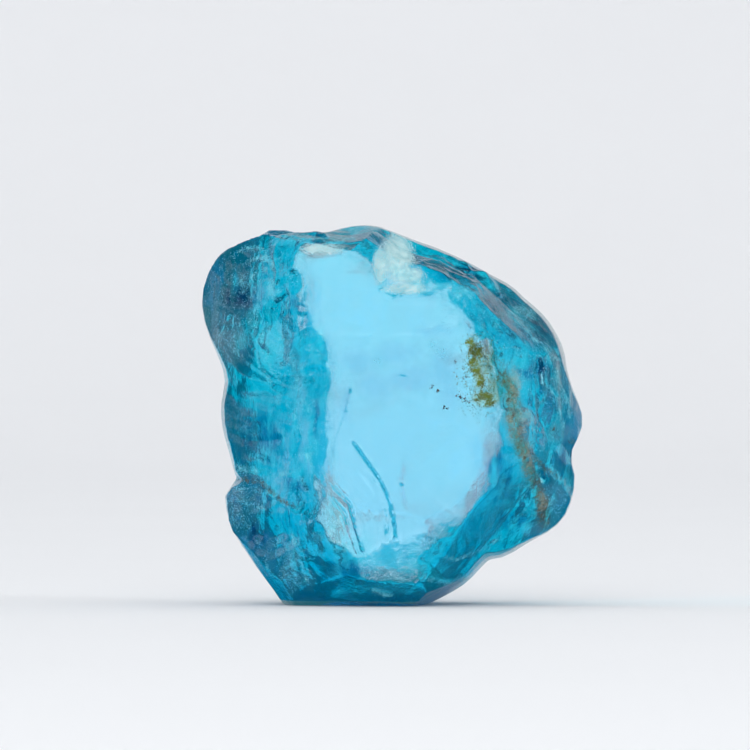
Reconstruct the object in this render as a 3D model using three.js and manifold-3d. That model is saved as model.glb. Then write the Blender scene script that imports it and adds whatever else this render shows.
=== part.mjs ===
// A rough fragment of blue apatite, one solid, as it broke: no cut or polished face.
// Millimetres, +Z up. Seen face-on along +Y, X runs to the right, and the broad glassy break faces -Y.
// The crystal stands on the flat break at its foot, and the origin is under the middle of its box.

import * as THREE from "three";
import { mergeVertices } from "three/addons/utils/BufferGeometryUtils.js";
import Module from "manifold-3d";

const wasm = await Module();
wasm.setup();

// Driving dimensions, in millimetres.
const HEART = new THREE.Vector3(0, 0, 4); // the middle of the lump
const FRONT_DEPTH = 3.5; // from the heart to the front of the lump before it is broken
const BACK_DEPTH = 3.3;
const ROUNDNESS = 3; // exponent of the lump's section from front to back: 2 is round, more is boxy
const AROUND = 96; // faces round the outline
const ACROSS = 22; // faces from front to back
const SPLINE_STEPS = 720;
const SUNK = 0.035; // share of its reach that the lump sinks, at most twice, away from its widest line
const WANDER_SLOW = 0.3; // how far the widest line wanders from front to back, twice round
const WANDER_FAST = 0.18; // the same, five times round
const FOOT_LEVEL = 0; // the level of the flat break that the crystal stands on

const SPAN = 15; // side of a break's surface, wider than the crystal
const REACH = 9; // how far a break clears outwards
const GRAIN = 0.44; // step of a break's surface
const SWELL = 0.035; // height of the slow unevenness of every break
const VIEWER = 30; // a point well outside the crystal, from which a place on its surface is looked up

// The outline seen face-on, as (x, z), from the top left round by the right. Its foot runs below
// FOOT_LEVEL, because the foot break takes it off.
const OUTLINE = [
  [-2.9, 7.68],
  [-2.45, 7.9],
  [-1.95, 7.79],
  [-1.3, 7.84],
  [-0.88, 7.95],
  [-0.36, 7.97],
  [0.0, 7.85],
  [0.48, 7.66],
  [1.01, 7.47],
  [1.64, 7.18],
  [2.06, 6.95],
  [2.53, 6.69],
  [2.82, 6.42],
  [3.12, 6.17],
  [3.43, 5.79],
  [3.62, 5.41],
  [3.7, 4.93],
  [3.83, 4.5],
  [3.98, 4.13],
  [4.03, 3.85],
  [3.95, 3.54],
  [3.81, 3.3],
  [3.79, 2.99],
  [3.86, 2.67],
  [3.81, 2.3],
  [3.68, 1.92],
  [3.39, 1.58],
  [3.01, 1.37],
  [2.69, 1.18],
  [2.4, 1.0],
  [2.04, 0.93],
  [1.85, 0.74],
  [1.58, 0.46],
  [1.16, 0.2],
  [0.69, -0.03],
  [-0.1, -0.42],
  [-1.1, -0.6],
  [-1.9, -0.42],
  [-2.34, 0.06],
  [-2.53, 0.34],
  [-2.76, 0.63],
  [-2.99, 0.97],
  [-3.2, 1.28],
  [-3.39, 1.62],
  [-3.48, 1.95],
  [-3.52, 2.25],
  [-3.45, 2.49],
  [-3.27, 2.65],
  [-3.33, 2.83],
  [-3.43, 3.2],
  [-3.56, 3.66],
  [-3.6, 4.13],
  [-3.54, 4.55],
  [-3.52, 4.78],
  [-3.64, 5.16],
  [-3.83, 5.6],
  [-3.96, 6.02],
  [-4.0, 6.4],
  [-3.96, 6.74],
  [-3.83, 7.07],
  [-3.58, 7.37],
  [-3.24, 7.56],
];

// Breaks. Each passes through three points (x, z, depth), the depth being towards the viewer on the
// front and away from the viewer on the back, and takes off all that lies beyond it. A bow over zero
// is a hollow, and under zero a bulge (mm per mm squared). Rings are the ripples of a glassy break,
// centred on the place (x, z) that it spread from.
const FRONT_BREAKS = {
  window: {
    through: [
      [0.2, 4.3, 2.6],
      [-1.3, 7.2, 2.25],
      [1.8, 3.2, 2.77],
    ],
    bow: -0.004,
    from: [5.2, 6.8],
    ring: 2.6,
    height: 0.014,
  },
  upperLeft: {
    through: [
      [-1.94, 7.3, 2.2],
      [-1.5, 6.0, 2.36],
      [-3.9, 6.4, 1.05],
    ],
    bow: 0.01,
    from: [-3.6, 8.6],
    ring: 1.3,
    height: 0.05,
  },
  leftBand: {
    through: [
      [-1.38, 5.5, 2.42],
      [-1.3, 2.9, 2.68],
      [-2.2, 4.2, 1.95],
    ],
    bow: -0.02,
    from: [-1.6, 6.4],
    ring: 1.1,
    height: 0.05,
  },
  leftFlank: {
    through: [
      [-2.15, 5.2, 2.06],
      [-2.1, 3.0, 2.06],
      [-3.6, 4.1, 0.62],
    ],
    bow: -0.015,
    from: [-2.2, 5.9],
    ring: 1.2,
    height: 0.06,
  },
  lowerLeft: {
    through: [
      [-1.42, 2.9, 2.68],
      [-1.5, 1.2, 2.86],
      [-3.3, 1.7, 0.75],
    ],
    bow: 0.05,
    from: [-3.6, 2.6],
    ring: 1.2,
    height: 0.05,
  },
  toe: {
    through: [
      [-1.5, 1.2, 2.86],
      [0.5, 1.0, 2.9],
      [-0.5, 0.2, 2.0],
    ],
    bow: -0.03,
    from: [-2.2, 0.4],
    ring: 1.4,
    height: 0.03,
  },
  lowerRight: {
    through: [
      [0.3, 1.0, 2.92],
      [2.25, 3.35, 2.78],
      [2.75, 1.25, 0.95],
    ],
    bow: 0.02,
    from: [3.6, 0.6],
    ring: 1.8,
    height: 0.03,
  },
  rightBand: {
    through: [
      [2.42, 5.0, 2.6],
      [2.35, 3.5, 2.74],
      [3.15, 4.2, 2.0],
    ],
    bow: -0.03,
    from: [2.4, 5.6],
    ring: 1.1,
    height: 0.06,
  },
  rightFlank: {
    through: [
      [3.05, 5.2, 2.0],
      [3.05, 2.4, 1.95],
      [3.95, 3.8, 0.7],
    ],
    bow: -0.03,
    from: [1.4, 4.4],
    ring: 1.0,
    height: 0.05,
  },
  upperRight: {
    through: [
      [-0.1, 6.95, 2.3],
      [1.3, 6.35, 2.42],
      [1.75, 7.05, 0.65],
    ],
    bow: 0.03,
    from: [-0.6, 8.2],
    ring: 1.5,
    height: 0.04,
  },
  shoulder: {
    through: [
      [1.5, 6.2, 2.36],
      [2.55, 5.25, 2.45],
      [3.35, 5.85, 0.8],
    ],
    bow: -0.02,
    from: [1.0, 7.4],
    ring: 2.4,
    height: 0.02,
  },
  brow: {
    through: [
      [-2.15, 7.45, 2.0],
      [-0.45, 7.5, 2.05],
      [-1.3, 7.8, 0.7],
    ],
    bow: 0.03,
    from: [-3.0, 8.0],
    ring: 1.2,
    height: 0.03,
  },
};

const BACK_BREAKS = {
  back: {
    through: [
      [0, 4.2, 2.5],
      [1.8, 4.4, 2.28],
      [-0.2, 6.4, 2.3],
    ],
    bow: -0.005,
    from: [-3.8, 3.2],
    ring: 2.4,
    height: 0.03,
  },
  backUpper: {
    through: [
      [-1.6, 6.4, 2.3],
      [1.3, 6.2, 2.2],
      [0.1, 7.6, 1.7],
    ],
    bow: 0.02,
    from: [0.4, 8.4],
    ring: 1.5,
    height: 0.05,
  },
  backUpperLeft: {
    through: [
      [-1.7, 6.5, 2.3],
      [-2.3, 4.6, 2.35],
      [-3.6, 6.6, 1.05],
    ],
    bow: -0.03,
    from: [-4.2, 6.8],
    ring: 1.3,
    height: 0.05,
  },
  backLeft: {
    through: [
      [-2.2, 4.9, 2.35],
      [-1.9, 2.4, 2.4],
      [-3.4, 3.6, 0.8],
    ],
    bow: 0.03,
    from: [-3.8, 4.8],
    ring: 1.4,
    height: 0.04,
  },
  backLowerLeft: {
    through: [
      [-2.0, 2.7, 2.4],
      [-0.9, 1.0, 2.35],
      [-2.9, 1.1, 0.8],
    ],
    bow: -0.03,
    from: [-3.4, 1.6],
    ring: 1.2,
    height: 0.05,
  },
  backHeel: {
    through: [
      [-1.1, 1.1, 2.4],
      [1.0, 1.0, 2.3],
      [0.0, 0.05, 1.75],
    ],
    bow: -0.04,
    from: [0.2, -0.6],
    ring: 1.1,
    height: 0.04,
  },
  backLowerRight: {
    through: [
      [0.9, 1.2, 2.3],
      [2.3, 2.9, 2.2],
      [2.9, 1.4, 1.1],
    ],
    bow: 0.02,
    from: [3.8, 1.6],
    ring: 1.6,
    height: 0.05,
  },
  backRight: {
    through: [
      [2.2, 3.0, 2.2],
      [2.3, 5.0, 2.15],
      [3.8, 4.1, 1.1],
    ],
    bow: -0.03,
    from: [4.4, 4.6],
    ring: 1.3,
    height: 0.05,
  },
  backUpperRight: {
    through: [
      [2.2, 4.9, 2.15],
      [1.2, 6.3, 2.15],
      [3.0, 6.1, 0.95],
    ],
    bow: 0.03,
    from: [3.4, 6.8],
    ring: 1.7,
    height: 0.04,
  },
};

// Shallow hollows struck out of the faces: the middle (x, z), how wide and how deep, and the place
// that the rings spread from.
const FRONT_HOLLOWS = {
  fan: { middle: [-0.75, 1.75], radius: 1.25, depth: 0.09, from: [-2.05, 1.2], ring: 0.9, height: 0.03 },
  crestScoop: { middle: [-2.35, 5.55], radius: 0.75, depth: 0.2, from: [-2, 6.2], ring: 0.62, height: 0.03 },
  toeDark: { middle: [-1.05, 0.95], radius: 0.7, depth: 0.14, from: [-1.7, 0.4], ring: 0.8, height: 0.02 },
  rightBite: { middle: [2.3, 3.0], radius: 0.7, depth: 0.14, from: [3.1, 2.4], ring: 0.8, height: 0.03 },
  ledge: { middle: [0.6, 6.65], radius: 0.6, depth: 0.16, from: [0.9, 7.4], ring: 0.7, height: 0.02 },
  stainBed: { middle: [2.55, 4.55], radius: 0.8, depth: 0.16, from: [3.2, 5.3], ring: 0.7, height: 0.03 },
};
const BACK_HOLLOWS = {
  shell: { middle: [-0.9, 5.3], radius: 1.6, depth: 0.3, from: [-2.4, 6.6], ring: 0.9, height: 0.04 },
  pocket: { middle: [1.3, 2.4], radius: 1.2, depth: 0.26, from: [2.4, 1.4], ring: 0.8, height: 0.04 },
  nick: { middle: [-1.9, 3.6], radius: 0.8, depth: 0.22, from: [-2.6, 3.4], ring: 0.7, height: 0.03 },
  flake: { middle: [1.4, 5.6], radius: 0.9, depth: 0.2, from: [2.2, 6.2], ring: 0.7, height: 0.03 },
};

// The same on the rim between front and back: the angle round the outline in degrees, anticlockwise
// from the right, the middle's y, and the y that the rings spread from.
const RIM_HOLLOWS = {
  rightLow: { angle: -18, y: 0.95, radius: 0.9, depth: 0.17, from: 2.2, ring: 0.7, height: 0.03 },
  rightHigh: { angle: 24, y: 0.9, radius: 0.8, depth: 0.14, from: -0.4, ring: 0.6, height: 0.03 },
  topRight: { angle: 58, y: 1.1, radius: 1.2, depth: 0.22, from: 2.4, ring: 0.8, height: 0.04 },
  topLeft: { angle: 112, y: 1.0, radius: 0.9, depth: 0.18, from: -0.6, ring: 0.7, height: 0.03 },
  leftHigh: { angle: 152, y: 1.0, radius: 0.9, depth: 0.18, from: 2.2, ring: 0.6, height: 0.03 },
  leftLow: { angle: 206, y: 0.9, radius: 0.8, depth: 0.15, from: 2.2, ring: 0.7, height: 0.03 },
  heelRight: { angle: -50, y: 0.8, radius: 0.8, depth: 0.14, from: 2.0, ring: 0.7, height: 0.03 },
};

// Edges that crumbled: small chips along a line (x, z), as many as chips says, on the front.
const CRUMBLED = {
  windowLeft: {
    line: [
      [-1.85, 6.9],
      [-1.5, 6.0],
      [-1.4, 5.2],
      [-1.45, 4.2],
      [-1.3, 3.2],
      [-1.45, 2.2],
      [-1.5, 1.4],
    ],
    chips: 22,
    size: [0.12, 0.3],
  },
  band: {
    line: [
      [-1.8, 5.6],
      [-1.75, 4.4],
      [-1.7, 3.3],
      [-1.8, 2.2],
    ],
    chips: 12,
    size: [0.14, 0.32],
  },
  crest: {
    line: [
      [-3.5, 5.95],
      [-2.9, 5.95],
      [-2.3, 6.2],
      [-1.8, 6.9],
    ],
    chips: 12,
    size: [0.12, 0.26],
  },
  windowRight: {
    line: [
      [1.2, 6.3],
      [2.0, 5.6],
      [2.45, 4.8],
      [2.45, 3.8],
      [2.1, 3.0],
      [1.4, 1.9],
    ],
    chips: 20,
    size: [0.12, 0.28],
  },
  rightRidge: {
    line: [
      [2.9, 5.3],
      [3.1, 4.4],
      [3.1, 3.4],
      [3.0, 2.3],
    ],
    chips: 12,
    size: [0.12, 0.26],
  },
  windowFoot: {
    line: [
      [-1.5, 1.2],
      [-0.6, 0.95],
      [0.3, 1.15],
      [1.2, 1.8],
    ],
    chips: 12,
    size: [0.1, 0.24],
  },
  topEdge: {
    line: [
      [-2.1, 7.4],
      [-1.0, 7.4],
      [0.2, 6.9],
      [1.2, 6.4],
    ],
    chips: 10,
    size: [0.12, 0.24],
  },
};
const CHIP_STRETCH = 2.4; // a chip is up to this much longer up and down than across
const CHIP_FLATNESS = 0.8; // a chip's size from front to back, as a share of its width
const CHIP_LEAN = 1.0; // radians between the chips that lean the most each way
const CHIP_SEAT = 0.45; // share of its size that a chip's middle stands off the surface
const CHIP_SCATTER = 0.36; // width of the strip that the chips lie in
const CHIP_SEED = 7;

// Deeper bites with round bottoms: the middle (x, z, depth) and the half sizes.
const BITE_DETAIL = 4; // how often the faces of a bite's ball are split
const BITES = {
  topNotch: { middle: [0.05, 7.35, 2.45], half: [0.56, 0.85, 0.95] },
  topNotchLip: { middle: [0.45, 6.9, 2.55], half: [0.6, 0.5, 0.36] },
  waist: { middle: [-3.75, 2.62, 0.7], half: [0.62, 1.5, 0.2] },
};

const closedMesh = (geometry) => {
  const bare = geometry.clone();
  bare.deleteAttribute("normal");
  bare.deleteAttribute("uv");
  return mergeVertices(bare, 1e-4);
};

const solidOf = (geometry) => {
  const { attributes, index } = closedMesh(geometry);
  return new wasm.Manifold(
    new wasm.Mesh({
      numProp: 3,
      vertProperties: new Float32Array(attributes.position.array),
      triVerts: new Uint32Array(index.array),
    }),
  );
};

const geometryOf = (solid) => {
  const { vertProperties, triVerts } = solid.getMesh();
  const geometry = new THREE.BufferGeometry();
  geometry.setAttribute("position", new THREE.BufferAttribute(vertProperties, 3));
  geometry.setIndex(new THREE.BufferAttribute(triVerts, 1));
  return geometry;
};

// A repeatable run of numbers from 0 to 1.
const chance = (seed) => {
  const [factor, prime] = [16807, 2147483647];
  let state = seed;
  return () => {
    state = (state * factor) % prime;
    return state / prime;
  };
};

// The outline's reach from the heart at an angle, read off a closed spline through OUTLINE.
const outlineReach = (() => {
  const points = OUTLINE.map(([x, z]) => new THREE.Vector3(x - HEART.x, 0, z - HEART.z));
  const spline = new THREE.CatmullRomCurve3(points, true, "centripetal");
  const rays = spline
    .getPoints(SPLINE_STEPS)
    .map((p) => ({ angle: Math.atan2(p.z, p.x), reach: Math.hypot(p.x, p.z) }))
    .sort((a, b) => a.angle - b.angle);
  return (angle) => {
    const after = rays.findIndex((ray) => ray.angle >= angle);
    if (after <= 0) return rays[0].reach;
    const [a, b] = [rays[after - 1], rays[after]];
    const share = (angle - a.angle) / Math.max(b.angle - a.angle, 1e-9);
    return THREE.MathUtils.lerp(a.reach, b.reach, share);
  };
})();

// The unbroken lump: a sphere whose equator is the outline and whose poles are front and back. Its
// widest line wanders from front to back, and it swells and sinks a little everywhere but there.
const lump = () => {
  const geometry = new THREE.SphereGeometry(1, AROUND, ACROSS);
  const at = geometry.attributes.position;
  for (let i = 0; i < at.count; i++) {
    const [x, y, z] = [at.getX(i), at.getY(i), at.getZ(i)];
    const angle = Math.atan2(z, x);
    const across = Math.pow(Math.hypot(x, z), 2 / ROUNDNESS);
    const along = Math.sign(y) * Math.pow(Math.abs(y), 2 / ROUNDNESS);
    const sunk = SUNK * Math.abs(along) * (1 + Math.sin(3 * angle + 5 * along));
    const reach = outlineReach(angle) * across * (1 - sunk);
    const wander = (WANDER_SLOW * Math.sin(2 * angle + 0.6) + WANDER_FAST * Math.sin(5 * angle)) * across;
    const depth = along * (y < 0 ? FRONT_DEPTH : BACK_DEPTH) + wander;
    at.setXYZ(i, HEART.x + reach * Math.cos(angle), depth, HEART.z + reach * Math.sin(angle));
  }
  return solidOf(geometry);
};

// What a break takes off: all that lies on the outer side of a surface through middle, square to
// normal. The surface is bowed by the square of the distance from the middle, ringed round origin,
// and a little uneven.
const takenOff = (middle, normal, { bow, origin, ring, height }) => {
  const across = new THREE.Vector3(1, 0, 0).projectOnPlane(normal).normalize();
  const frame = new THREE.Matrix4().makeBasis(across, normal.clone().cross(across), normal);
  frame.setPosition(middle);
  const centre = origin.clone().applyMatrix4(frame.clone().invert());
  const steps = Math.round(SPAN / GRAIN);
  const geometry = new THREE.BoxGeometry(SPAN, SPAN, REACH, steps, steps, 1).translate(0, 0, REACH / 2);
  const at = geometry.attributes.position;
  for (let i = 0; i < at.count; i++) {
    if (at.getZ(i) > REACH / 2) continue;
    const [u, v] = [at.getX(i), at.getY(i)];
    const away = Math.hypot(u - centre.x, v - centre.y);
    const swell = SWELL * Math.sin(1.7 * u + 0.9 * v + middle.x) * Math.cos(1.3 * v - 0.6 * u + middle.z);
    const rings = height * Math.sin((2 * Math.PI * away) / ring);
    at.setZ(i, bow * (u * u + v * v) + rings + swell);
  }
  return solidOf(geometry.applyMatrix4(frame));
};

const pointOn = (side, [x, z, depth]) => new THREE.Vector3(x, side * depth, z);

// A break through three points of one side: -1 is the front and 1 the back.
const breakOff = (side, { through, bow, from, ring, height }) => {
  const points = through.map((p) => pointOn(side, p));
  const plane = new THREE.Plane().setFromCoplanarPoints(...points);
  if (plane.distanceToPoint(HEART) > 0) plane.negate();
  const middle = points[0].clone().add(points[1]).add(points[2]).divideScalar(3);
  const origin = plane.projectPoint(pointOn(side, [...from, side * middle.y]), new THREE.Vector3());
  return takenOff(middle, plane.normal, { bow, origin, ring, height });
};

// The first place on the crystal that a ray meets, and the way its face looks there.
const placeOn = (mesh, from, way) => {
  const hit = new THREE.Raycaster(from, way).intersectObject(mesh)[0];
  return hit && { point: hit.point, normal: hit.face.normal };
};

const placeFacing = (mesh, side, [x, z]) =>
  placeOn(mesh, pointOn(side, [x, z, VIEWER]), new THREE.Vector3(0, -side, 0));

const placeOnRim = (mesh, angle, y) => {
  const outwards = new THREE.Vector3(1, 0, 0).applyAxisAngle(new THREE.Vector3(0, -1, 0), angle);
  const from = HEART.clone().addScaledVector(outwards, VIEWER).setY(y);
  return placeOn(mesh, from, outwards.negate());
};

const hollowOut = ({ point, normal }, origin, { radius, depth, ring, height }) => {
  const lowest = point.clone().addScaledVector(normal, -depth);
  return takenOff(lowest, normal, { bow: depth / (radius * radius), origin, ring, height });
};

const hollowFaces = (solid, side, hollows) =>
  Object.values(hollows).reduce((left, hollow) => {
    const place = placeFacing(new THREE.Mesh(geometryOf(left)), side, hollow.middle);
    return left.subtract(hollowOut(place, pointOn(side, [...hollow.from, side * place.point.y]), hollow));
  }, solid);

const hollowRim = (solid, hollows) =>
  Object.values(hollows).reduce((left, hollow) => {
    const angle = THREE.MathUtils.degToRad(hollow.angle);
    const place = placeOnRim(new THREE.Mesh(geometryOf(left)), angle, hollow.y);
    return left.subtract(hollowOut(place, place.point.clone().setY(hollow.from), hollow));
  }, solid);

const chipsAlong = (mesh, { line, chips, size }, roll) => {
  const curve = new THREE.CatmullRomCurve3(line.map(([x, z]) => new THREE.Vector3(x, 0, z)));
  return Array.from({ length: chips }, (_, i) => {
    const on = curve.getPoint((i + roll()) / chips);
    const wide = THREE.MathUtils.lerp(...size, roll() ** 2);
    const place = placeFacing(mesh, -1, [on.x + CHIP_SCATTER * (roll() - 0.5), on.z]);
    if (!place) return null;
    const chip = new THREE.IcosahedronGeometry(wide).rotateX(Math.PI * roll()).rotateZ(Math.PI * roll());
    const stretch = THREE.MathUtils.lerp(1, CHIP_STRETCH, roll());
    chip.scale(1, CHIP_FLATNESS, stretch).rotateY(CHIP_LEAN * (roll() - 0.5));
    const seat = place.point.addScaledVector(place.normal, wide * CHIP_SEAT);
    return solidOf(chip.translate(seat.x, seat.y, seat.z));
  }).filter(Boolean);
};

const bite = ({ middle, half }) => {
  const { x, y, z } = pointOn(-1, middle);
  return solidOf(new THREE.IcosahedronGeometry(1, BITE_DETAIL).scale(...half).translate(x, y, z));
};

const footBreak = () =>
  solidOf(new THREE.BoxGeometry(SPAN, SPAN, REACH).translate(0, 0, FOOT_LEVEL - REACH / 2));

// Splinters that the breaks cut free fall away.
const biggestOf = (solid) =>
  solid.decompose().reduce((big, body) => (body.volume() > big.volume() ? body : big));

const roll = chance(CHIP_SEED);
let crystal = lump();
for (const one of Object.values(FRONT_BREAKS)) crystal = crystal.subtract(breakOff(-1, one));
for (const one of Object.values(BACK_BREAKS)) crystal = crystal.subtract(breakOff(1, one));
crystal = hollowFaces(crystal, -1, FRONT_HOLLOWS);
crystal = hollowFaces(crystal, 1, BACK_HOLLOWS);
crystal = hollowRim(crystal, RIM_HOLLOWS);
for (const one of Object.values(BITES)) crystal = crystal.subtract(bite(one));
const whole = new THREE.Mesh(geometryOf(crystal));
for (const edge of Object.values(CRUMBLED))
  for (const chip of chipsAlong(whole, edge, roll)) crystal = crystal.subtract(chip);
crystal = crystal.subtract(footBreak());
crystal = biggestOf(crystal);

const geometry = geometryOf(crystal);
geometry.computeBoundingBox();
const middle = geometry.boundingBox.getCenter(new THREE.Vector3());
geometry.translate(-middle.x, -middle.y, -geometry.boundingBox.min.z);

const apatite = new THREE.MeshStandardMaterial({ color: "#12a7cf", roughness: 0.12, metalness: 0 });
const crystalMesh = new THREE.Mesh(geometry, apatite);
crystalMesh.name = "apatite_crystal";

const part = new THREE.Group();
part.add(crystalMesh);

export default part;
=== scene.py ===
"""A rough fragment of clear blue apatite, standing on its flat break on a pale studio floor."""

import math

import bmesh
import bpy
import numpy as np
from mathutils import Matrix, Vector, noise


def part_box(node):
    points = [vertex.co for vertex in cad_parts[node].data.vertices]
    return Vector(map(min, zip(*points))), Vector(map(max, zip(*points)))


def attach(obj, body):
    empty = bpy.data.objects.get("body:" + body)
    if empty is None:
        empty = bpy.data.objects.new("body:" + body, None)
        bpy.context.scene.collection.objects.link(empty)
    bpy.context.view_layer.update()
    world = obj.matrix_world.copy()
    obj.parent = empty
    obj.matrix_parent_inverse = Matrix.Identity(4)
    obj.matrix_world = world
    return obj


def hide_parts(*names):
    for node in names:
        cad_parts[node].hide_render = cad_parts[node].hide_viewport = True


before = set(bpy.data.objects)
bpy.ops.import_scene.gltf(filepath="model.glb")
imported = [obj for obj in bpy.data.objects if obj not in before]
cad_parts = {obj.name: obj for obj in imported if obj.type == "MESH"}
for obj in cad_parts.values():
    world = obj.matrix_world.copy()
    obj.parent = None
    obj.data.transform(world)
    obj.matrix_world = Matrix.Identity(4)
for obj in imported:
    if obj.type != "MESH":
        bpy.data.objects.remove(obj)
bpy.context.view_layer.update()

bl_info = {
    "name": "Rough apatite crystal",
    "version": (1, 0, 0),
    "blender": (4, 5, 0),
    "location": "3D View > Sidebar > Crystal",
    "description": "Builds a broken piece of blue apatite with its rusty seam, and the studio it stands in",
    "category": "Mesh",
}

NODE = "apatite_crystal"
LOW, HIGH = (np.array(corner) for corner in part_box(NODE))

# Dark cards round the crystal, in metres: how near and far they reach, and how high over the floor.
CARD_NEAR, CARD_FAR, CARD_LIFT = 0.002, 0.42, 0.0001

# The fine surface is worked in millimetres, because a remesh can't be finer than 0.1 mm in metres.
MM = 0.001

# Broken edges on the front: the half width of the broken strip, and its line as (x, z) in millimetres.
CRUMBLED_EDGES = {
    "left edge of the glassy face": (0.42, [
        (-1.95, 7.1), (-1.6, 6.2), (-1.5, 5.2), (-1.55, 4.2), (-1.45, 3.2), (-1.55, 2.2), (-1.6, 1.4),
    ]),
    "left band": (0.34, [(-1.95, 5.9), (-1.9, 4.6), (-1.85, 3.4), (-1.95, 2.2)]),
    "crest of the left lobe": (0.24, [(-3.6, 5.95), (-2.9, 5.9), (-2.3, 6.2), (-1.8, 6.9)]),
    "right seam": (0.5, [(1.3, 6.3), (2.1, 5.6), (2.6, 4.7), (2.65, 3.8), (2.9, 2.9), (3.1, 2.1)]),
    "right ridge": (0.26, [(3, 5.3), (3.2, 4.4), (3.2, 3.4), (3.1, 2.3)]),
    "foot of the glassy face": (0.12, [(-1.5, 1.1), (-0.6, 0.85), (0.3, 1.1), (0.9, 1.5)]),
    "top edge": (0.26, [(-2.1, 7.4), (-1, 7.45), (0.2, 7), (1.2, 6.4)]),
    "waist": (0.22, [(-3.5, 2.62), (-2.9, 2.6), (-2.2, 2.5), (-1.6, 2.3)]),
}

# Ripples of the glassy breaks on the front: the place (x, z) that they spread from, the least and
# most distance, the middle (x, z) and half width of the patch that shows them, ring width, height.
RIPPLES = {
    "fan": ((-2.04, 1.24), (0.9, 2.3), (-0.5, 1.7), 1.2, 0.16, 0.006),
    "left scoop": ((-2, 6.1), (0.3, 1.5), (-2.5, 5.45), 0.75, 0.17, 0.008),
    "left flank": ((-2, 6.4), (1.4, 4.2), (-2.9, 4.3), 1.2, 0.3, 0.018),
    "upper lobe": ((-2.6, 8.3), (0.4, 2.6), (-2.9, 6.9), 1.2, 0.28, 0.007),
    "lower lobe": ((-3.6, 2.9), (0.3, 3), (-2.6, 1.6), 1.2, 0.24, 0.012),
    "right flank": ((1.1, 4.5), (1.9, 3.1), (3.5, 4.4), 1, 0.22, 0.014),
    "lower right": ((3.4, 0.9), (0.4, 2.6), (2.6, 1.8), 1.1, 0.36, 0.01),
    "upper right": ((-0.4, 8.4), (0.8, 3.6), (1.6, 6.7), 1.3, 0.28, 0.01),
}

# Steps on the glassy face: width, height and line. The ground is higher on the line's right hand.
GROOVES = {
    "long arc": (0.04, 0.026, [
        (-0.8, 3.4), (-0.5, 2.98), (-0.25, 2.63), (-0.04, 2.17), (0.04, 1.7), (0.08, 1.2), (0.24, 0.86),
    ]),
    "beside the long arc": (0.04, 0.01, [
        (-0.5, 2.8), (-0.26, 2.3), (-0.14, 1.8), (-0.1, 1.3), (0.06, 0.8),
    ]),
    "short arc": (0.045, 0.018, [(-1.22, 2.5), (-0.88, 2.13), (-0.76, 1.62), (-0.63, 1.2), (-0.3, 0.7)]),
    "beside the short arc": (0.04, 0.012, [
        (-1.3, 2.3), (-1, 1.95), (-0.88, 1.5), (-0.72, 1.1), (-0.42, 0.7),
    ]),
    "hairline": (0.035, 0.012, [(-0.86, 4.62), (-0.9, 4.3), (-1.04, 3.8), (-1.16, 3.5)]),
    "faint line": (0.05, 0.006, [(-1.2, 5.66), (-0.3, 5.6), (0.6, 5.62), (0.95, 5.9), (2, 5.7)]),
    "fine line low": (0.03, 0.006, [(0.45, 2.62), (0.8, 2.3), (1.3, 1.9)]),
}

# Small pits in the glassy face: x, z, half width, half height and depth.
PITS = [
    (0.22, 4.78, 0.1, 0.016, 0.012), (0.34, 4.73, 0.12, 0.014, 0.014), (0.14, 4.72, 0.05, 0.014, 0.01),
    (0.3, 4.42, 0.07, 0.014, 0.01), (0.36, 4.26, 0.05, 0.012, 0.008), (0.12, 5.02, 0.03, 0.015, 0.01),
    (-0.5, 5.3, 0.03, 0.02, 0.01), (-0.1, 5.1, 0.025, 0.015, 0.01), (0.2, 2.51, 0.1, 0.012, 0.01),
]

# Where the iron film lies. All patches of the front are given as x, z, half width and half height.
FILM_PATCHES = [
    (1.6, 5.52, 0.05, 0.12), (1.72, 5.3, 0.15, 0.2), (1.68, 5.06, 0.1, 0.12), (1.74, 4.9, 0.14, 0.09),
    (1.84, 4.68, 0.08, 0.16), (1.95, 4.4, 0.22, 0.08), (2.02, 4.24, 0.1, 0.13), (1.78, 4.33, 0.1, 0.05),
]

# The ground round the film is slightly rough: its patch, and how high the roughness is.
STAINED_PATCH = (1.8, 4.8, 0.5, 0.9)
STAINED_RELIEF = 0.006

# What share of the film's grains is scattered over that ground, and how far the film's edges fray.
SCATTERED_FILM, FILM_FRAY = 0.06, 0.09

# Dark specks, as (x, z), and the half width of each.
SPECK_PLACES = [
    (1.07, 4.15), (1.14, 4.12), (1.34, 4.4), (1.42, 4.35), (1.5, 4.3), (1.6, 4.26), (0.82, 4.58),
    (0.95, 4.5), (1.3, 5.1), (1.5, 4.75), (2.99, 3.98), (3.35, 3.7), (3.7, 3.4), (2.4, 4.3), (2.5, 4),
    (2.75, 3.1), (3, 2.2),
]
SPECK_SPREAD = 0.03

# The brown veins: half width and line.
VEINS = {
    "right vein": (0.13, [
        (2.27, 4.82), (2.48, 4.5), (2.5, 3.87), (2.69, 3.24), (2.9, 2.72), (3.1, 2.2), (3.16, 1.77),
    ]),
    "right branch": (0.06, [(2.6, 3.5), (2.95, 3.1), (3.4, 2.7)]),
    "left vein": (0.05, [(-3.2, 2.65), (-2.74, 2.57), (-2.25, 2.19), (-1.94, 2.08)]),
}

# What share of its height a streak is raised by.
STREAK_RELIEF = 0.4

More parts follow.
